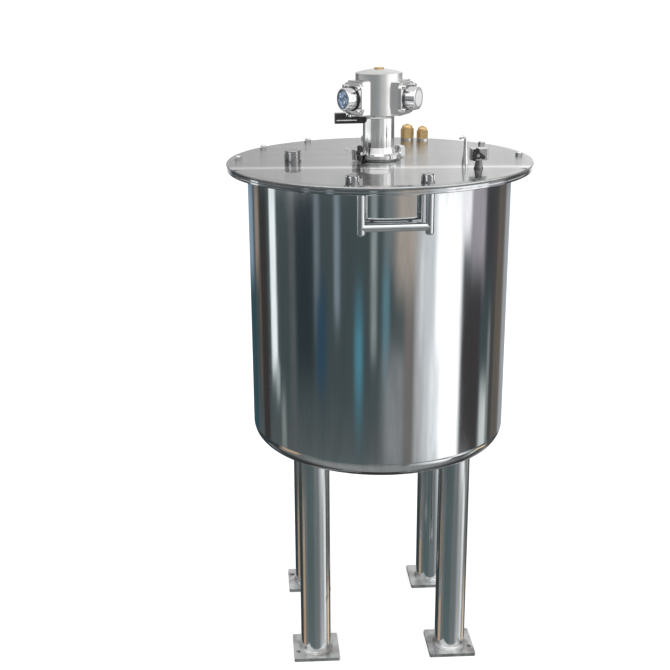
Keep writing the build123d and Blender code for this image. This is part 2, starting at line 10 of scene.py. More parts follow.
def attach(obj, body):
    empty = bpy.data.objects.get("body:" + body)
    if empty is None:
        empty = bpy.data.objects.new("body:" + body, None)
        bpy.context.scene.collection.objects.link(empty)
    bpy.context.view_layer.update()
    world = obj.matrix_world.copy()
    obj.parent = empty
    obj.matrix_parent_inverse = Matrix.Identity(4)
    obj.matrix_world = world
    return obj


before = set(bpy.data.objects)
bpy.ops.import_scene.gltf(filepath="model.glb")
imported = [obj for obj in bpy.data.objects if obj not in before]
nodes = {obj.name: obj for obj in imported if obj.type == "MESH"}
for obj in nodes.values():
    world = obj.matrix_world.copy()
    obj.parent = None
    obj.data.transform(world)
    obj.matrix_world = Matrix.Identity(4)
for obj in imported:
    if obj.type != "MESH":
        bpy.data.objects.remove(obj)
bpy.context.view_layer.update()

mm = 0.001

# Camera, fitted to the photograph's 670 by 670 frame
image_size = 670
focal_px = 1164.5
principal_x = 285.0
principal_y = 339.0
sensor_width = 36.0
camera_at = Vector((-0.2446, -2.2079, 1.3424))
camera_yaw = -0.0272
camera_pitch = -0.3143
camera_roll = -0.0193


def make_camera():
    data = bpy.data.cameras.new("photo_camera")
    data.sensor_width = sensor_width
    data.lens = focal_px / image_size * sensor_width
    data.shift_x = 0.5 - principal_x / image_size
    data.shift_y = principal_y / image_size - 0.5
    forward = Vector(
        (
            -math.sin(camera_yaw) * math.cos(camera_pitch),
            math.cos(camera_yaw) * math.cos(camera_pitch),
            math.sin(camera_pitch),
        )
    )
    level = Vector((math.cos(camera_yaw), math.sin(camera_yaw), 0))
    upward = level.cross(forward)
    right = math.cos(camera_roll) * level + math.sin(camera_roll) * upward
    up = math.cos(camera_roll) * upward - math.sin(camera_roll) * level
    camera = bpy.data.objects.new("photo_camera", data)
    camera.matrix_world = Matrix.Translation(camera_at) @ Matrix((right, up, -forward)).transposed().to_4x4()
    bpy.context.scene.collection.objects.link(camera)
    bpy.context.scene.camera = camera


# Shader maths
class Field:
    """A shader value; arithmetic on it adds Math nodes to its tree."""

    def __init__(self, tree, socket):
        self.tree = tree
        self.socket = socket

    def math(self, operation, *values):
        node = self.tree.nodes.new("ShaderNodeMath")
        node.operation = operation
        for slot, value in zip(node.inputs, values):
            plug(self.tree, slot, value)
        return Field(self.tree, node.outputs[0])

    def __add__(self, other):
        return self.math("ADD", self, other)

    def __radd__(self, other):
        return self.math("ADD", other, self)

    def __sub__(self, other):
        return self.math("SUBTRACT", self, other)

    def __rsub__(self, other):
        return self.math("SUBTRACT", other, self)

    def __mul__(self, other):
        return self.math("MULTIPLY", self, other)

    def __rmul__(self, other):
        return self.math("MULTIPLY", other, self)

    def __neg__(self):
        return self.math("MULTIPLY", self, -1.0)

    def __abs__(self):
        return self.math("ABSOLUTE", self)

    def smooth(self, low, high, start=0.0, end=1.0):
        node = self.tree.nodes.new("ShaderNodeMapRange")
        node.interpolation_type = "SMOOTHSTEP"
        for slot, value in zip(node.inputs, (self, low, high, start, end)):
            plug(self.tree, slot, value)
        return Field(self.tree, node.outputs[0])


def plug(tree, slot, value):
    """Links a field to a socket, or sets the socket to a plain value."""
    if isinstance(value, Field):
        tree.links.new(value.socket, slot)
    elif slot.type == "RGBA" and len(value) == 3:
        slot.default_value = (*value, 1.0)
    else:
        slot.default_value = value


class Graph:
    """Adds nodes of any kind to one shader tree."""

    def __init__(self, tree):
        self.tree = tree

    def node(self, kind, settings=None, output=0, **inputs):
        node = self.tree.nodes.new("ShaderNode" + kind)
        for name, value in (settings or {}).items():
            setattr(node, name, value)
        for name, value in inputs.items():
            plug(self.tree, node.inputs[name.replace("_", " ")], value)
        return Field(self.tree, node.outputs[output])

    def mix(self, factor, first, second):
        """Mixes two colours."""
        node = self.tree.nodes.new("ShaderNodeMix")
        node.data_type = "RGBA"
        plug(self.tree, node.inputs["Factor"], factor)
        plug(self.tree, node.inputs[6], first)
        plug(self.tree, node.inputs[7], second)
        return Field(self.tree, node.outputs[2])

    def place(self, scale=(1, 1, 1)):
        """Object coordinates, stretched by scale."""
        here = self.node("TexCoord", output=3)
        return self.node("Mapping", Vector=here, Scale=scale)

    def noise(self, scale, detail=3.0, roughness=0.5, stretch=(1, 1, 1)):
        return self.node(
            "TexNoise", Vector=self.place(stretch), Scale=scale, Detail=detail, Roughness=roughness
        )


def material(name):
    """A new material with its graph and an empty principled shader joined to the output."""
    made = bpy.data.materials.new(name)
    made.use_nodes = True
    made.node_tree.nodes.clear()
    graph = Graph(made.node_tree)
    shader = made.node_tree.nodes.new("ShaderNodeBsdfPrincipled")
    output = made.node_tree.nodes.new("ShaderNodeOutputMaterial")
    made.node_tree.links.new(shader.outputs[0], output.inputs[0])
    return made, graph, shader


def feed(graph, shader, **values):
    for name, value in values.items():
        plug(graph.tree, shader.inputs[name.replace("_", " ")], value)


def bump(graph, height, strength, distance, normal=None):
    node = graph.tree.nodes.new("ShaderNodeBump")
    plug(graph.tree, node.inputs["Height"], height)
    node.inputs["Strength"].default_value = strength
    node.inputs["Distance"].default_value = distance
    if normal is not None:
        plug(graph.tree, node.inputs["Normal"], normal)
    return Field(graph.tree, node.outputs[0])


# Finishes
steel_light = (0.66, 0.67, 0.68)
steel_deep = (0.58, 0.595, 0.605)


def polished_sheet(name, roughness, wave, along=(1.0, 1.0, 0.12)):
    """Mirror-polished stainless: faint streaks along the sheet and a slow wave in it."""
    made, g, shader = material(name)
    streak = g.noise(60.0, 5.0, 0.6, along)
    cloud = g.noise(5.0, 2.0)
    feed(
        g,
        shader,
        Base_Color=g.mix(streak.smooth(0.35, 0.7), steel_light, steel_deep),
        Metallic=1.0,
        Roughness=streak.smooth(0.3, 0.8, roughness * 0.8, roughness * 1.5) + cloud * roughness * 0.3,
        Normal=bump(g, cloud, wave, 0.0015, bump(g, streak, wave * 0.4, 0.0002)),
    )
    return made


# A soft fold crosses the lid from side to side; the polish is clearer in front of it than behind.
# Its direction is in degrees from +X, its distance is from the drum's axis towards the front.
fold_direction = -5.9
fold_distance = 96.7 * mm
fold_ahead = -8 * mm
fold_behind = 40 * mm
# Painted highlight on the fold: within this distance of it the lid's colour turns pale, to the tone below.
fold_highlight_width = 24 * mm
fold_highlight_tone = (0.86, 0.86, 0.86)


def behind_fold(g):
    """How far a point of the lid lies behind the fold, in metres."""
    turn = math.radians(fold_direction)
    along = g.node("VectorMath", {"operation": "DOT_PRODUCT"}, 1, Vector=g.node("TexCoord", output=3))
    along.socket.node.inputs[1].default_value = (-math.sin(turn), math.cos(turn), 0.0)
    return along + fold_distance


def brushed_lid(name):
    """Lid: brushed from side to side over a clear polish that shows most at the front; a painted highlight
    makes it pale along the fold.
    """
    made, g, shader = material(name)
    brush = g.noise(260.0, 2.0, 0.5, (0.01, 1.0, 1.0))
    cloud = g.noise(9.0, 3.0, 0.55, (0.35, 1.0, 1.0))
    sheet = g.mix(cloud.smooth(0.35, 0.68), (0.44, 0.444, 0.444), (0.405, 0.409, 0.409))
    # Painted highlight: pale in the middle of the fold, fading out towards its sides; both lid shaders carry
    # it.
    painted_fold_highlight = 1.0 - abs(behind_fold(g)).smooth(0.0, fold_highlight_width)
    feed(
        g,
        shader,
        Base_Color=g.mix(painted_fold_highlight, sheet, fold_highlight_tone),
        Metallic=1.0,
        Roughness=0.16,
        Normal=bump(g, brush, 0.8, 0.0012),
    )
    clear = g.tree.nodes.new("ShaderNodeBsdfPrincipled")
    feed(
        g,
        clear,
        Base_Color=g.mix(painted_fold_highlight, (0.46, 0.465, 0.465), fold_highlight_tone),
        Metallic=1.0,
        Roughness=0.018,
    )
    worn = behind_fold(g).smooth(fold_ahead, fold_behind)
    both = g.tree.nodes.new("ShaderNodeMixShader")
    plug(g.tree, both.inputs[0], cloud.smooth(0.3, 0.7, 0.46, 0.54) - worn * 0.44)
    g.tree.links.new(shader.outputs[0], both.inputs[1])
    g.tree.links.new(clear.outputs[0], both.inputs[2])
    output = next(node for node in g.tree.nodes if node.bl_idname == "ShaderNodeOutputMaterial")
    g.tree.links.new(both.outputs[0], output.inputs[0])
    return made


def satin_steel(name):
    """Ground stainless plate with small scratches both ways and warm weld tint."""
    made, g, shader = material(name)
    grain = g.noise(500.0, 3.0, 0.6, (1.0, 0.08, 1.0))
    stain = g.noise(20.0, 3.0, 0.55)
    tinted = g.mix(stain.smooth(0.42, 0.66), (0.66, 0.67, 0.665), (0.30, 0.285, 0.27))
    feed(
        g,
        shader,
        Base_Color=g.mix(grain.smooth(0.3, 0.75) * 0.4, tinted, (0.36, 0.37, 0.37)),
        Metallic=1.0,
        Roughness=grain.smooth(0.2, 0.8, 0.24, 0.4),
        Normal=bump(g, grain, 0.25, 0.0002, bump(g, stain, 0.2, 0.002)),
    )
    return made


def bright_chrome(name, colour=(0.80, 0.80, 0.81), roughness=0.09):
    made, g, shader = material(name)
    haze = g.noise(90.0, 4.0, 0.6)
    feed(
        g,
        shader,
        Base_Color=g.mix(haze.smooth(0.35, 0.75), colour, tuple(0.86 * c for c in colour)),
        Metallic=1.0,
        Roughness=haze.smooth(0.3, 0.75, roughness * 0.7, roughness * 1.6),
        Normal=bump(g, haze, 0.08, 0.0004),
    )
    return made


def cast_alloy(name, colour=(0.70, 0.70, 0.69), roughness=0.2):
    """Nickel-grey casting with a fine skin."""
    made, g, shader = material(name)
    skin = g.noise(260.0, 2.0, 0.5)
    cloud = g.noise(30.0, 3.0)
    feed(
        g,
        shader,
        Base_Color=g.mix(cloud.smooth(0.35, 0.7), colour, tuple(0.92 * c for c in colour)),
        Metallic=1.0,
        Roughness=cloud.smooth(0.3, 0.7, roughness, roughness * 1.25),
        Normal=bump(g, skin, 0.05, 0.0002),
    )
    return made


arm_axis_height = 1096.9
pale_disc_radius = 14.5 * mm
pale_disc_edge = 0.4 * mm


def pale_faced_cap(name, direction, face_at):
    """Bright cap with a plain pale disc on its outer face, face_at metres from the drum's axis."""
    made, g, shader = material(name)
    turn = math.radians(direction)
    here = g.node("TexCoord", output=3)
    along = g.node("VectorMath", {"operation": "DOT_PRODUCT"}, 1, Vector=here)
    along.socket.node.inputs[1].default_value = (math.cos(turn), math.sin(turn), 0.0)
    centre = (face_at * math.cos(turn), face_at * math.sin(turn), arm_axis_height * mm)
    out = g.node("VectorMath", {"operation": "DISTANCE"}, 1, Vector=here)
    out.socket.node.inputs[1].default_value = centre
    disc = 1.0 - out.smooth(pale_disc_radius - pale_disc_edge, pale_disc_radius + pale_disc_edge)
    face = along.smooth(face_at - pale_disc_edge, face_at - pale_disc_edge / 4) * disc
    haze = g.noise(90.0, 4.0, 0.6)
    bright = g.mix(haze.smooth(0.35, 0.75), (0.80, 0.80, 0.81), (0.70, 0.70, 0.71))
    feed(
        g,
        shader,
        Base_Color=g.mix(face, bright, (0.74, 0.74, 0.745)),
        Metallic=1.0 - face,
        Roughness=0.1 + face * 0.3,
    )
    return made


def sintered_brass(name):
    """Brass with a granular skin and darker pits."""
    made, g, shader = material(name)
    grains = g.node("TexVoronoi", Vector=g.place(), Scale=900.0)
    cloud = g.noise(120.0, 4.0, 0.6)
    warm = g.mix(cloud.smooth(0.35, 0.7), (0.68, 0.45, 0.18), (0.42, 0.25, 0.09))
    feed(
        g,
        shader,
        Base_Color=g.mix(grains.smooth(0.1, 0.6) * 0.6, warm, (0.78, 0.60, 0.32)),
        Metallic=0.8,
        Roughness=cloud.smooth(0.3, 0.7, 0.3, 0.5),
        Normal=bump(g, grains, 0.35, 0.0003),
    )
    return made


def dark_finish(name, colour, roughness, metallic=0.0):
    """Black moulding, rubber or blackened steel with faint handling marks."""
    made, g, shader = material(name)
    marks = g.noise(160.0, 4.0, 0.6)
    feed(
        g,
        shader,
        Base_Color=g.mix(marks.smooth(0.4, 0.8), colour, tuple(1.7 * c + 0.01 for c in colour)),
        Metallic=metallic,
        Roughness=marks.smooth(0.3, 0.7, roughness * 0.85, roughness * 1.15),
        Normal=bump(g, marks, 0.15, 0.0002),
    )
    return made


def window_face(name):
    """Dark blue-grey face with small painted glints."""
    made, g, shader = material(name)
    cloud = g.noise(95.0, 2.0, 0.5)
    # Painted glints: small pale spots in the face's colour stand in for highlights.
    painted_glints = g.noise(210.0, 1.0, 0.4)
    face = g.mix(cloud.smooth(0.42, 0.62), (0.045, 0.085, 0.15), (0.20, 0.30, 0.44))
    feed(
        g,
        shader,
        Base_Color=g.mix(painted_glints.smooth(0.60, 0.68), face, (0.82, 0.86, 0.92)),
        Metallic=0.0,
        Roughness=0.25,
        Coat_Weight=0.3,
    )
    return made


right_arm_direction = -31.5
cap_end = 0.081

finishes = {
    "drum": polished_sheet("polished_drum", 0.07, 0.12),
    "lid": brushed_lid("brushed_lid"),
    "tube": polished_sheet("polished_tube", 0.12, 0.12),
    "rim": polished_sheet("polished_rim", 0.05, 0.05),
    "plate": satin_steel("ground_plate"),
    "neck": dark_finish("gunmetal", (0.17, 0.17, 0.175), 0.24, 0.9),
    "core": bright_chrome("plug_core", (0.36, 0.36, 0.37), 0.2),
    "turned": cast_alloy("turned_alloy", (0.80, 0.80, 0.79), 0.11),
    "body": cast_alloy("satin_casting", (0.82, 0.82, 0.81), 0.27),
    "chrome": bright_chrome("bright_chrome"),
    "bolt": bright_chrome("bolt_steel", (0.66, 0.66, 0.66), 0.16),
    "valve": bright_chrome("valve_steel", (0.52, 0.52, 0.53), 0.16),
    "alloy": cast_alloy("nickel_casting"),
    "brass": sintered_brass("sintered_brass"),
    "rubber": dark_finish("black_rubber", (0.012, 0.012, 0.013), 0.55),
    "plastic": dark_finish("black_moulding", (0.014, 0.014, 0.016), 0.32),
    "dark": dark_finish("blackened_steel", (0.05, 0.05, 0.052), 0.3, 0.8),
    "window": window_face("blue_window"),
    "pale_cap": pale_faced_cap("pale_faced_cap", right_arm_direction, cap_end),
}

node_finish = {
    "drum_wall": "drum",
    "bottom_head": "drum",
    "rim_flange": "rim",
    "lid": "lid",
    "rim_gasket": "rubber",
    "front_handle": "tube",
    "back_handle": "tube",
    "outlet_ferrule": "tube",
    "stirrer_shaft": "bolt",
    "impeller": "bolt",
    "lid_ferrule": "chrome",
    "clamp_front_half": "chrome",
    "clamp_back_half": "chrome",
    "clamp_hinge": "chrome",
    "clamp_bolt": "bolt",
    "clamp_wing_nut": "dark",
    "motor_neck": "turned",
    "motor_body": "body",
    "motor_top_cover": "body",
    "motor_top_plug": "brass",
    "cap_window": "window",
    "air_valve_bar": "plastic",
    "air_valve_spool": "chrome",
    "air_valve_screw": "chrome",
    "rim_nuts": "chrome",
    "left_port_plug": "core",
    "front_port_plugs": "core",
    "brass_cap_washers": "chrome",
    "brass_cap_left": "brass",
    "brass_cap_right": "brass",
    "breather_post": "chrome",
    "vent_neck": "neck",
    "vent_valve_body": "valve",
    "vent_handle": "plastic",
}
for corner in ("front_left", "front_right", "back_left", "back_right"):
    node_finish[f"leg_{corner}"] = "tube"
    node_finish[f"foot_plate_{corner}"] = "plate"
for arm in ("left", "right", "back"):
    node_finish[f"cylinder_head_{arm}"] = "alloy"
    node_finish[f"cylinder_cap_{arm}"] = "chrome"
    node_finish[f"cap_gasket_{arm}"] = "rubber"
node_finish["cylinder_cap_right"] = "pale_cap"
node_finish["cap_gasket_right"] = "neck"


def dress(piece, finish):
    piece.data.materials.clear()
    piece.data.materials.append(finishes[finish])


for node_name, finish in node_finish.items():
    dress(nodes[node_name], finish)


# Small pieces that repeat: screws, ribs and weld scales, each grown by a geometry node tree
class Recipe:
    """A geometry node tree with named inputs; its first input is the points to grow on."""

    kinds = {int: "NodeSocketInt", float: "NodeSocketFloat"}

    def __init__(self, name, **inputs):
        self.group = bpy.data.node_groups.new(name, "GeometryNodeTree")
        self.keys = {}
        face = self.group.interface
        face.new_socket("Geometry", in_out="OUTPUT", socket_type="NodeSocketGeometry")
        face.new_socket("Places", in_out="INPUT", socket_type="NodeSocketGeometry")
        for label, value in inputs.items():
            kind = self.kinds[type(value)]
            self.keys[label] = face.new_socket(label, in_out="INPUT", socket_type=kind).identifier
        finish = face.new_socket("finish", in_out="INPUT", socket_type="NodeSocketMaterial")
        self.keys["finish"] = finish.identifier
        self.defaults = inputs
        self.given = self.group.nodes.new("NodeGroupInput").outputs

    def add(self, kind, settings=None, **inputs):
        node = self.group.nodes.new("GeometryNode" + kind)
        for name, value in (settings or {}).items():
            setattr(node, name, value)
        for name, value in inputs.items():
            slot = node.inputs[name.replace("_", " ")]
            if isinstance(value, bpy.types.NodeSocket):
                self.group.links.new(value, slot)
            else:
                slot.default_value = value
        return node.outputs

    def join(self, *parts):
        node = self.group.nodes.new("GeometryNodeJoinGeometry")
        for part in parts:
            self.group.links.new(part, node.inputs[0])
        return node.outputs[0]

    def stud(self, sides, radius, steps):
        """A turned stud that stands on z = 0: each step rises, then scales its top."""
        shape = self.add("MeshCircle", {"fill_type": "NGON"}, Vertices=sides, Radius=radius)[0]
        underside = self.add("FlipFaces", Mesh=shape)[0]
        top = None
        for rise, scale in steps:
            pushed = self.add("ExtrudeMesh", Mesh=shape, Offset_Scale=rise)
            if top is not None:
                self.group.links.new(top, pushed[0].node.inputs["Selection"])
            top = pushed["Top"]
            shape = self.add("ScaleElements", Geometry=pushed["Mesh"], Selection=top, Scale=scale)[0]
        return self.add("MergeByDistance", Geometry=self.join(shape, underside), Distance=1e-6)[0]

    def end(self, shape, smooth=False):
        """Realizes what was grown, gives it its finish and closes the tree."""
        real = self.add("RealizeInstances", Geometry=shape)[0]
        if smooth:
            real = self.add("SetShadeSmooth", Geometry=real)[0]
        done = self.add("SetMaterial", Geometry=real, Material=self.given["finish"])[0]
        self.group.links.new(done, self.group.nodes.new("NodeGroupOutput").inputs[0])
        return self


def grow(name, recipe, places, finish, slot, turn=None, **values):
    """Grows a recipe on its places, keeps the plain mesh, and fixes it to the tank."""
    points = bpy.data.meshes.new(name + "_places")
    points.from_pydata(places, [], [])
    piece = bpy.data.objects.new(name, points)
    bpy.context.scene.collection.objects.link(piece)
    modifier = piece.modifiers.new("grow", "NODES")
    modifier.node_group = recipe.group
    for label, value in {**recipe.defaults, **values, "finish": finishes[finish]}.items():
        modifier[recipe.keys[label]] = value
    graph = bpy.context.evaluated_depsgraph_get()
    mesh = bpy.data.meshes.new_from_object(piece.evaluated_get(graph), depsgraph=graph)
    piece.modifiers.remove(modifier)
    if turn is not None:
        mesh.transform(turn)
    mesh.name = name
    piece.data = mesh
    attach(piece, "tank")


# Socket screws at the corners of a plate, heads towards +Z
head_screws = Recipe(
    "socket_screws",
    across=44 * mm,
    up=42 * mm,
    radius=4.4 * mm,
    height=5.2 * mm,
    edge=0.7 * mm,
    edge_scale=0.84,
    socket_scale=0.62,
    socket_depth=2.6 * mm,
)
given = head_screws.given
sunk = head_screws.group.nodes.new("ShaderNodeMath")
sunk.operation = "MULTIPLY"
sunk.inputs[1].default_value = -1.0
head_screws.group.links.new(given["socket_depth"], sunk.inputs[0])
screw = head_screws.stud(
    24,
    given["radius"],
    (
        (given["height"], 1.0),
        (given["edge"], given["edge_scale"]),
        (0.0, given["socket_scale"]),
        (sunk.outputs[0], 1.0),
    ),
)
corners = head_screws.add("MeshGrid", Size_X=given["across"], Size_Y=given["up"], Vertices_X=2, Vertices_Y=2)
head_screws.end(head_screws.add("InstanceOnPoints", Points=corners["Mesh"], Instance=screw)[0])

# Rounded ribs in a ring, as on a fluted plug
plug_ribs = Recipe(
    "plug_ribs", count=6, ring=13.0 * mm, radius=3.0 * mm, height=14.0 * mm, edge=1.2 * mm, edge_scale=0.62
)
given = plug_ribs.given
rib = plug_ribs.stud(14, given["radius"], ((given["height"], 1.0), (given["edge"], given["edge_scale"])))
ring = plug_ribs.add("MeshCircle", Vertices=given["count"], Radius=given["ring"])[0]
ribbed = plug_ribs.add("InstanceOnPoints", Points=ring, Instance=rib)[0]
plug_ribs.end(plug_ribs.add("InstanceOnPoints", Points=given["Places"], Instance=ribbed)[0])

# Overlapping scales of a weld, in a ring
weld_scales = Recipe("weld_scales", count=64, ring=32.0 * mm, thickness=1.4 * mm, length=2.4 * mm)
given = weld_scales.given
size = weld_scales.group.nodes.new("ShaderNodeCombineXYZ")
for axis, label in enumerate(("thickness", "thickness", "length")):
    weld_scales.group.links.new(given[label], size.inputs[axis])
bead = weld_scales.add("MeshUVSphere", Segments=10, Rings=6, Radius=1.0)["Mesh"]
bead = weld_scales.add("Transform", Geometry=bead, Scale=size.outputs[0])[0]
path = weld_scales.add("CurvePrimitiveCircle", Resolution=96, Radius=given["ring"])["Curve"]
spots = weld_scales.add("CurveToPoints", Curve=path, Count=given["count"])
row = weld_scales.add(
    "InstanceOnPoints", Points=spots["Points"], Instance=bead, Rotation=spots["Rotation"]
)[0]
weld_scales.end(weld_scales.add("InstanceOnPoints", Points=given["Places"], Instance=row)[0], smooth=True)

# A thin round ring
thin_ring = Recipe("thin_ring", ring=17.0 * mm, thickness=0.9 * mm)
given = thin_ring.given
path = thin_ring.add("CurvePrimitiveCircle", Resolution=64, Radius=given["ring"])["Curve"]
section = thin_ring.add("CurvePrimitiveCircle", Resolution=12, Radius=given["thickness"])["Curve"]
hoop = thin_ring.add("CurveToMesh", Curve=path, Profile_Curve=section)[0]
thin_ring.end(thin_ring.add("InstanceOnPoints", Points=given["Places"], Instance=hoop)[0], smooth=True)

# A small rivet with a low dome
low_rivet = Recipe("low_rivet", radius=2.6 * mm, rise=0.7 * mm)
given = low_rivet.given
rivet = low_rivet.stud(
    20, given["radius"], ((given["rise"], 1.0), (given["rise"], 0.8), (given["rise"], 0.55))
)
low_rivet.end(low_rivet.add("InstanceOnPoints", Points=given["Places"], Instance=rivet)[0], smooth=True)

# Where the small pieces sit, in millimetres
arm_directions = {"left": -151.5, "right": right_arm_direction, "back": 88.5}
head_face = 59.5
lid_top = 980.0
foot_top = 7.0
flange_under = 971.0
leg_offset = 136.6
bezel_sink = 0.3
weld_rise = 1.3
plug_head = 3.0
left_plug_at = (-163.0, -3.0, lid_top + plug_head)
front_plug_radius = 261.0
front_plug_angles = (-106.0, -77.5)
handle_x = 59.0
handle_y = 269.12
rivet_at = (-50.4, 125.6, lid_top)


def arm_place(direction, reach):
    """Turns +Z outwards along an arm and puts it at a reach from the drum's axis."""
    turn = math.radians(direction)
    at = Vector((reach * math.cos(turn), reach * math.sin(turn), arm_axis_height)) * mm
    upright = Matrix.Rotation(math.radians(90), 4, "X")
    return Matrix.Translation(at) @ Matrix.Rotation(turn + math.radians(90), 4, "Z") @ upright


def points_at(*places):
    return [tuple(value * mm for value in place) for place in places]


for arm, direction in arm_directions.items():
    grow(
        f"head_screws_{arm}",
        head_screws,
        [(0, 0, 0)],
        "bolt",
        "bright_fittings",
        arm_place(direction, head_face),
    )
grow(
    "window_bezel",
    thin_ring,
    [(0, 0, 0)],
    "dark",
    "dark_steel",
    arm_place(arm_directions["left"], cap_end / mm - bezel_sink),
)
grow("left_plug_ribs", plug_ribs, points_at(left_plug_at), "chrome", "bright_fittings")
front_plugs = [
    (
        front_plug_radius * math.cos(math.radians(angle)),
        front_plug_radius * math.sin(math.radians(angle)),
        lid_top + plug_head,
    )
    for angle in front_plug_angles
]
grow(
    "front_plug_ribs",
    plug_ribs,
    points_at(*front_plugs),
    "chrome",
    "bright_fittings",
    ring=9.2 * mm,
    radius=2.4 * mm,
    height=9.0 * mm,
)
for side_x, across in ((-1, "left"), (1, "right")):
    for side_y, along in ((-1, "front"), (1, "back")):
        grow(
            f"foot_weld_{along}_{across}",
            weld_scales,
            points_at((side_x * leg_offset, side_y * leg_offset, foot_top + weld_rise)),
            "plate",
            "polished_steel",
        )
for side_y, along in ((-1, "front"), (1, "back")):
    grow(
        f"handle_welds_{along}",
        weld_scales,
        points_at((-handle_x, side_y * handle_y, flange_under), (handle_x, side_y * handle_y, flange_under)),
        "chrome",
        "polished_steel",
        count=22,
        ring=7.6 * mm,
        length=1.8 * mm,
        thickness=1.2 * mm,
    )
grow(
    "ferrule_weld",
    weld_scales,
    points_at((0, 0, lid_top)),
    "chrome",
    "polished_steel",
    ring=32.6 * mm,
    thickness=1.2 * mm,
)
grow("lid_rivet", low_rivet, points_at(rivet_at), "chrome", "bright_fittings")


def make_lid_fold(width=40.0, rise=0.35, root=0.3, half_length=266.0, border=0.3, steps=16):
    """The soft fold across the lid: a low ridge, in millimetres, that meets the sheet at its sides."""
    turn = math.radians(fold_direction)
    along = Vector((math.cos(turn), math.sin(turn), 0.0))
    back = Vector((-math.sin(turn), math.cos(turn), 0.0))
    shares = [step / steps - 0.5 for step in range(steps + 1)]
    shares[1:1] = [border / width - 0.5]
    shares[-1:-1] = [0.5 - border / width]
    profile = [(width * share, rise * math.cos(math.pi * share) ** 2) for share in shares]
    profile += [(width / 2, -root), (-width / 2, -root)]
    ends = (-half_length, border - half_length, half_length - border, half_length)
    middle = Vector((0.0, 0.0, lid_top)) - back * fold_distance / mm
    points = []
    for end in ends:
        for across, height in profile:
            points.append((middle + along * end + back * across + Vector((0.0, 0.0, height))) * mm)
    count = len(profile)
    faces = []
    for row in range(0, 3 * count, count):
        for k in range(count):
            after = (k + 1) % count
            faces.append((row + k, row + after, row + count + after, row + count + k))
    faces += [tuple(range(count)), tuple(range(3 * count, 4 * count))]
    mesh = bpy.data.meshes.new("lid_fold")
    mesh.from_pydata(points, [], faces)
    work = bmesh.new()
    work.from_mesh(mesh)
    bmesh.ops.recalc_face_normals(work, faces=work.faces)
    work.to_mesh(mesh)
    work.free()
    for face in mesh.polygons:
        face.use_smooth = face.normal.z > 0.9
    for edge in mesh.edges:
        edge.use_edge_sharp = all(mesh.vertices[k].co.z < (lid_top - root / 2) * mm for k in edge.vertices)
    piece = bpy.data.objects.new("lid_fold", mesh)
    bpy.context.scene.collection.objects.link(piece)
    dress(piece, "lid")
    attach(piece, "tank")


make_lid_fold()


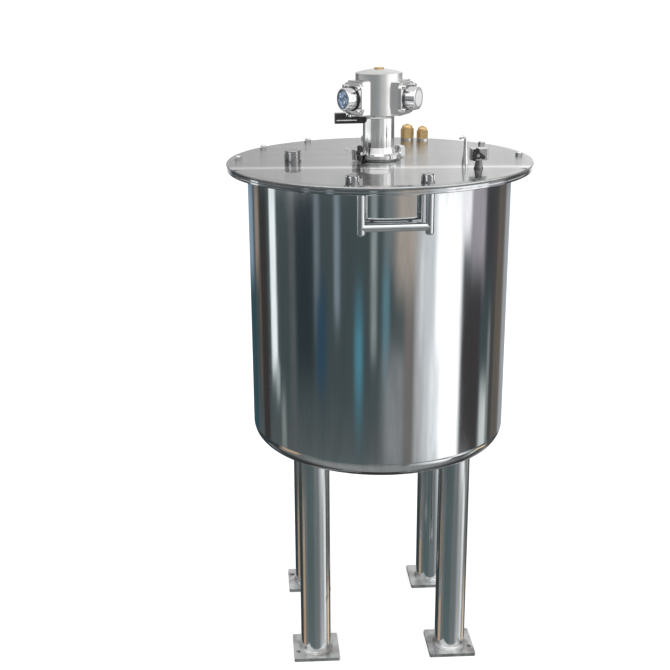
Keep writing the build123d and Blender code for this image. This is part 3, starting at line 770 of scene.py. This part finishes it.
# Studio
# Panels of the room that the metal mirrors, painted one over the other. Each has its name, its middle and
# half width in degrees of azimuth from the front towards +X, its lowest and highest elevation, how soft
# its sides and its ends are, and its colour. An open end runs on as far as the room does.
open_below = -60.0
open_above = 25.0
low_panels = (
    ("blue_corner", -164.0, 16.0, open_below, -10.0, 6.0, 4.0, (0.04, 0.085, 0.105)),
    ("pale_corner", -165.0, 14.0, -14.8, -10.0, 8.0, 2.5, (0.27, 0.37, 0.46)),
    ("tan_post", -141.0, 5.0, -14.8, -10.0, 6.0, 2.5, (0.36, 0.30, 0.25)),
    ("tan_post_foot", -135.5, 3.0, -20.5, -14.0, 5.0, 2.0, (0.15, 0.12, 0.10)),
    ("left_gap", -127.5, 6.0, open_below, -10.0, 4.0, 4.0, (0.055, 0.05, 0.05)),
    ("left_lamp", -111.4, 4.4, -19.6, -10.0, 3.4, 1.4, (1.25, 1.33, 1.35)),
    ("left_lamp_foot", -107.0, 2.6, -20.9, -19.2, 3.0, 0.8, (0.52, 0.60, 0.58)),
    ("left_lamp_base", -100.0, 2.8, -24.0, -20.7, 4.0, 1.2, (0.30, 0.34, 0.33)),
    ("grey_cupboard", -86.5, 3.6, open_below, -10.0, 4.0, 3.0, (0.125, 0.14, 0.145)),
    ("dark_cupboard", -73.0, 9.0, -20.0, -10.0, 6.0, 3.5, (0.035, 0.05, 0.06)),
    ("blue_strip", -60.3, 2.4, -17.5, -10.0, 3.6, 2.5, (0.24, 0.29, 0.33)),
    ("blue_glow", -56.5, 5.0, -20.5, -15.5, 6.0, 2.0, (0.04, 0.09, 0.14)),
    ("teal_strip", -41.6, 2.4, -17.0, -10.0, 4.0, 2.5, (0.29, 0.36, 0.41)),
    ("teal_screen", -22.5, 3.2, -21.6, -16.4, 5.5, 4.4, (0.11, 0.34, 0.43)),
    ("pale_post", -9.6, 2.4, -18.9, -10.0, 3.0, 0.8, (0.36, 0.42, 0.42)),
    ("teal_shade", 1.0, 3.0, -20.5, -14.0, 4.0, 3.0, (0.14, 0.28, 0.33)),
    ("grey_shade", 4.0, 5.0, -14.5, -10.0, 5.0, 2.0, (0.21, 0.24, 0.25)),
    ("centre_cloth", 9.5, 10.0, open_below, -18.8, 14.0, 2.6, (0.325, 0.34, 0.345)),
    ("warm_cloth", 21.0, 3.6, open_below, -10.0, 5.0, 3.0, (0.23, 0.21, 0.20)),
    ("tan_cloth", 19.0, 10.0, -15.5, -10.0, 9.0, 3.0, (0.56, 0.49, 0.43)),
    ("window_haze", 30.5, 4.5, open_below, -10.0, 5.0, 3.0, (0.58, 0.585, 0.59)),
    ("pale_strip", 32.5, 2.4, -18.8, -13.0, 3.0, 0.9, (0.92, 0.95, 0.95)),
    ("window_side", 39.0, 5.6, open_below, -10.0, 6.0, 3.0, (0.80, 0.84, 0.86)),
    ("window", 58.0, 13.6, open_below, -10.0, 6.0, 3.0, (1.75, 1.75, 1.75)),
    ("window_veil", 45.0, 4.4, open_below, -18.5, 6.0, 3.0, (1.15, 1.18, 1.20)),
    ("window_top", 75.6, 6.2, -13.2, -10.0, 5.0, 2.2, (1.45, 1.42, 1.45)),
    ("grey_top", 91.0, 9.5, -14.8, -10.0, 6.0, 3.0, (0.47, 0.44, 0.48)),
    ("dark_top", 112.0, 12.0, -15.0, -10.0, 6.0, 3.0, (0.075, 0.075, 0.08)),
    ("right_shade", 84.8, 11.4, open_below, -15.0, 4.0, 2.4, (0.065, 0.06, 0.062)),
    ("right_lamp", 104.6, 5.8, open_below, -20.2, 5.0, 2.2, (0.84, 0.89, 0.87)),
    ("right_grey", 111.0, 2.2, open_below, -17.0, 3.0, 3.0, (0.30, 0.34, 0.34)),
    ("right_dark", 117.5, 3.6, open_below, -10.0, 4.0, 3.0, (0.09, 0.085, 0.08)),
    ("right_tan", 130.0, 9.0, open_below, -10.0, 6.0, 3.0, (0.17, 0.145, 0.125)),
    ("right_corner", 158.0, 19.0, open_below, -10.0, 8.0, 3.0, (0.40, 0.42, 0.44)),
    ("floor_layer", 0.0, 190.0, -33.6, -24.4, 6.0, 1.0, (0.20, 0.225, 0.23)),
    ("floor_teal", -38.0, 26.0, -33.6, -24.4, 14.0, 1.0, (0.12, 0.17, 0.175)),
    ("floor_dark", -132.0, 46.0, -33.6, -24.4, 10.0, 1.0, (0.045, 0.06, 0.065)),
    ("floor_tan", -97.0, 11.5, -33.6, -26.0, 9.0, 1.6, (0.60, 0.47, 0.34)),
    ("floor_tan_foot", -99.0, 13.0, -33.6, -31.4, 8.0, 1.2, (0.80, 0.52, 0.32)),
    ("floor_haze", 48.0, 12.0, -33.6, -24.4, 26.0, 1.0, (0.44, 0.46, 0.46)),
    ("floor_window", 78.0, 9.0, -33.6, -24.4, 24.0, 1.0, (1.35, 1.37, 1.36)),
    ("floor_shade", 106.0, 9.0, -33.6, -24.4, 8.0, 1.0, (0.16, 0.17, 0.175)),
    ("floor_grey", 150.0, 32.0, -33.6, -24.4, 10.0, 1.0, (0.10, 0.105, 0.11)),
    ("floor_glow", 112.0, 11.0, -33.6, -30.0, 9.0, 1.6, (1.30, 1.0, 0.68)),
)
high_panels = (
    ("white_blind", -92.0, 27.0, open_below, -6.2, 10.0, 1.2, (1.35, 1.36, 1.38)),
    ("blind_top", -92.0, 27.0, -6.2, open_above, 10.0, 1.2, (0.15, 0.15, 0.155)),
    ("grey_wall", -31.0, 26.0, open_below, open_above, 10.0, 6.0, (0.35, 0.36, 0.36)),
    ("light_wall", 20.0, 20.0, open_below, open_above, 12.0, 6.0, (0.68, 0.69, 0.69)),
    ("bright_wall", 44.0, 9.0, open_below, open_above, 8.0, 6.0, (1.5, 1.5, 1.5)),
    ("tall_window", 77.0, 21.0, open_below, open_above, 8.0, 6.0, (1.75, 1.75, 1.75)),
    ("side_wall", 120.0, 18.0, open_below, open_above, 8.0, 6.0, (0.62, 0.62, 0.62)),
    ("side_shade", 123.0, 27.0, open_below, -7.0, 8.0, 1.2, (0.12, 0.12, 0.12)),
    ("dark_door", 158.0, 20.0, open_below, open_above, 8.0, 6.0, (0.04, 0.04, 0.04)),
    ("dark_curtain", -152.0, 20.0, open_below, open_above, 10.0, 6.0, (0.07, 0.08, 0.10)),
)

# What the room shows where no panel is, and between which elevations one part of it fades into the next
room_base = (0.075, 0.10, 0.105)
floor_base = (0.24, 0.25, 0.25)
high_base = (0.35, 0.35, 0.35)
ceiling_behind = (0.82, 0.82, 0.82)
ceiling_in_front = (1.75, 1.75, 1.75)
underneath_behind = (0.05, 0.05, 0.05)
underneath_in_front = (0.34, 0.35, 0.35)
horizon = -9.9
horizon_soft = 0.4
floor_fade = (-32.0, -19.0)
ceiling_fade = (14.0, 32.0)
underneath_fade = (-50.0, -33.0)


def band(value, low, high, soft):
    """One between low and high, falling to nothing over soft."""
    rise = value.smooth(low - soft / 2, low + soft / 2)
    fall = value.smooth(high - soft / 2, high + soft / 2)
    return rise * (1.0 - fall)


def paint_panels(g, base, panels, azimuth, elevation):
    colour = base
    for name, middle, half, low, high, side_soft, end_soft, tint in panels:
        across = band(azimuth, middle - half, middle + half, side_soft)
        if low > open_below:
            across = across * elevation.smooth(low - end_soft / 2, low + end_soft / 2)
        if high < open_above:
            across = across * (1.0 - elevation.smooth(high - end_soft / 2, high + end_soft / 2))
        colour = g.mix(across, colour, tint)
    return colour


# What the flat lid mirrors: a plain wall behind, lighter on the right, with two faint streaks, each
# given by its middle and half width in degrees
wall_span = (-24.0, 34.0)
wall_soft = 10.0
wall_left = (0.60, 0.60, 0.60)
wall_right = (1.06, 1.06, 1.06)
wall_streaks = ((9.2, 0.5), (12.4, 0.7))
streak_tone = (0.65, 0.65, 0.65)
streak_soft = 0.8
streak_share = 0.35


def wall_behind(g, azimuth):
    """Wall behind the object; azimuth is from straight behind towards +X."""
    wall = g.mix(azimuth.smooth(-2.0, 15.0), wall_left, wall_right)
    for middle, half in wall_streaks:
        streak = band(azimuth, middle - half, middle + half, streak_soft) * streak_share
        wall = g.mix(streak, wall, streak_tone)
    return wall


def make_world():
    """White behind the object; metal mirrors a room with a window, lamps and darker walls."""
    world = bpy.data.worlds.new("studio")
    world.use_nodes = True
    tree = world.node_tree
    tree.nodes.clear()
    g = Graph(tree)
    split = tree.nodes.new("ShaderNodeSeparateXYZ")
    plug(tree, split.inputs[0], g.node("TexCoord", output=0))
    x, y, z = (Field(tree, out) for out in split.outputs)
    azimuth = x.math("ARCTAN2", x, -y) * math.degrees(1)
    behind = x.math("ARCTAN2", x, y) * math.degrees(1)
    elevation = z.math("ARCSINE", z) * math.degrees(1)
    low_base = g.mix(elevation.smooth(*floor_fade), floor_base, room_base)
    low_room = paint_panels(g, low_base, low_panels, azimuth, elevation)
    high_room = paint_panels(g, high_base, high_panels, azimuth, elevation)
    high_room = g.mix(band(behind, *wall_span, wall_soft), high_room, wall_behind(g, behind))
    ceiling = g.mix(abs(behind).smooth(80.0, 120.0), ceiling_behind, ceiling_in_front)
    high_room = g.mix(elevation.smooth(*ceiling_fade), high_room, ceiling)
    room = g.mix(elevation.smooth(horizon - horizon_soft, horizon + horizon_soft), low_room, high_room)
    underneath = g.mix(abs(behind).smooth(50.0, 115.0), underneath_behind, underneath_in_front)
    room = g.mix(elevation.smooth(*underneath_fade), underneath, room)
    ray = tree.nodes.new("ShaderNodeLightPath")
    plain = g.mix(Field(tree, ray.outputs["Is Camera Ray"]), (0.8, 0.8, 0.8), (1.0, 1.0, 1.0))
    colour = g.mix(Field(tree, ray.outputs["Is Glossy Ray"]), plain, room)
    background = g.node("Background", Color=colour, Strength=1.0)
    output = tree.nodes.new("ShaderNodeOutputWorld")
    tree.links.new(background.socket, output.inputs[0])
    bpy.context.scene.world = world


def make_floor(reach=30.0, grey=0.5, glow=0.66):
    """Pale floor that keeps the object's shadow and meets the white behind it."""
    mesh = bpy.data.meshes.new("studio_floor")
    corners = [(-reach, -reach, 0), (reach, -reach, 0), (reach, reach, 0), (-reach, reach, 0)]
    mesh.from_pydata(corners, [], [(0, 1, 2, 3)])
    floor = bpy.data.objects.new("studio_floor", mesh)
    bpy.context.scene.collection.objects.link(floor)
    paint = bpy.data.materials.new("pale_floor")
    paint.use_nodes = True
    tree = paint.node_tree
    tree.nodes.clear()
    g = Graph(tree)
    diffuse = g.node("BsdfDiffuse", Color=(grey, grey, grey))
    shine = g.node("Emission", Color=(1.0, 1.0, 1.0), Strength=glow)
    both = tree.nodes.new("ShaderNodeAddShader")
    tree.links.new(diffuse.socket, both.inputs[0])
    tree.links.new(shine.socket, both.inputs[1])
    output = tree.nodes.new("ShaderNodeOutputMaterial")
    tree.links.new(both.outputs[0], output.inputs[0])
    mesh.materials.append(paint)
    floor.visible_glossy = False


lamps_aim_at = Vector((0.0, 0.0, 0.7))


def soft_lamp(name, at, size, watts):
    data = bpy.data.lights.new(name, "AREA")
    data.shape = "RECTANGLE"
    data.size = size
    data.size_y = size
    data.energy = watts
    lamp = bpy.data.objects.new(name, data)
    aim = lamps_aim_at - Vector(at)
    lamp.matrix_world = Matrix.Translation(at) @ aim.to_track_quat("-Z", "Y").to_matrix().to_4x4()
    lamp.visible_glossy = False
    bpy.context.scene.collection.objects.link(lamp)


make_camera()
make_world()
make_floor()
soft_lamp("key_lamp", (-1.8, -2.2, 3.2), 1.8, 45.0)
soft_lamp("fill_lamp", (2.4, -1.4, 2.2), 2.2, 30.0)
soft_lamp("back_lamp", (0.4, 2.8, 2.6), 2.0, 20.0)

scene = bpy.context.scene
scene.view_settings.view_transform = "Standard"
